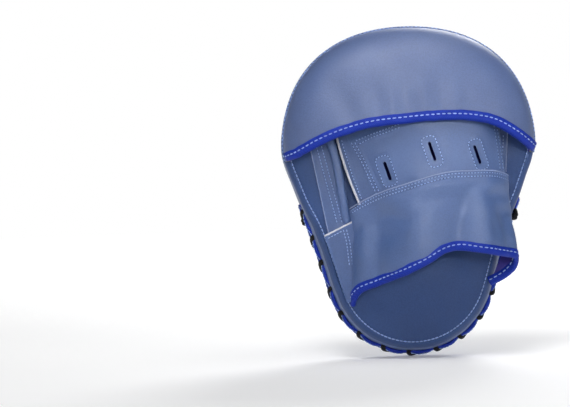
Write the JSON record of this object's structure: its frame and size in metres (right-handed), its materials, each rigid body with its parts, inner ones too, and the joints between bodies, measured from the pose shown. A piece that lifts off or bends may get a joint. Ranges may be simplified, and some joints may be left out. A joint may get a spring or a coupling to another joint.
{
  "type": "boxing focus mitt",
  "caption": "Right-hand boxing focus mitt: a padded striking face with a round target, a finger hood, a vented hand pocket, a wrist cuff and a laced side.",
  "frame": {"origin": "the middle of the hand pocket, where the wearer's palm sits, 118 mm above the lowest point of the pad", "axes": "+Z to the fingertips along the longest side, +Y through the striking face across the thickness, +X to the right seen from the glove side"},
  "size_m": [0.1992, 0.0868, 0.2646],
  "materials": {
    "leather_blue": "pebbled, semi-matte",
    "leather_dark": "matte flesh side",
    "binding_blue": "woven tape",
    "lining_blue": "smooth lining",
    "foam_grey": "closed-cell foam",
    "disc_white": "smooth vinyl",
    "lace_black": "braided cord"
  },
  "bodies": {
    "pad": {"front_cover": "leather_blue", "back_cover": "leather_blue", "face_foam": "foam_grey", "core_foam": "foam_grey", "back_foam": "foam_grey", "target_disc": "disc_white", "emblem_print": "disc_white", "front_edge_binding": "binding_blue", "back_edge_binding": "binding_blue", "side_lace": "lace_black", "lace_knots": "lace_black", "palm_lining": "lining_blue", "palm_edge_panel": "leather_blue", "palm_edge_roll": "leather_blue", "cuff_tab": "leather_blue", "outer_side_flange": "leather_blue"},
    "hood": {"hood_shell": "leather_blue", "hood_padding": "foam_grey", "hood_lining": "lining_blue", "hood_binding": "binding_blue"},
    "pocket": {"hand_back_panel": "leather_blue", "hand_back_lining": "lining_blue", "vent_patches": "leather_dark", "thumb_strip": "leather_blue", "outer_side_strip": "leather_blue", "cuff": "leather_blue", "cuff_lining": "lining_blue", "cuff_binding": "binding_blue"}
  },
  "joints": [
    {"name": "hood_flex", "type": "hinge", "parent": "pad", "child": "hood", "pos_m": [0, 0.0177, 0.14], "axis": [-1, 0, 0], "range_deg": [0, 10], "stiffness_Nm_per_rad": 0.6},
    {"name": "pocket_open", "type": "hinge", "parent": "pad", "child": "pocket", "pos_m": [0.015, 0.0177, 0.079], "axis": [-1, 0, 0], "range_deg": [0, 7], "stiffness_Nm_per_rad": 0.6}
  ]
}
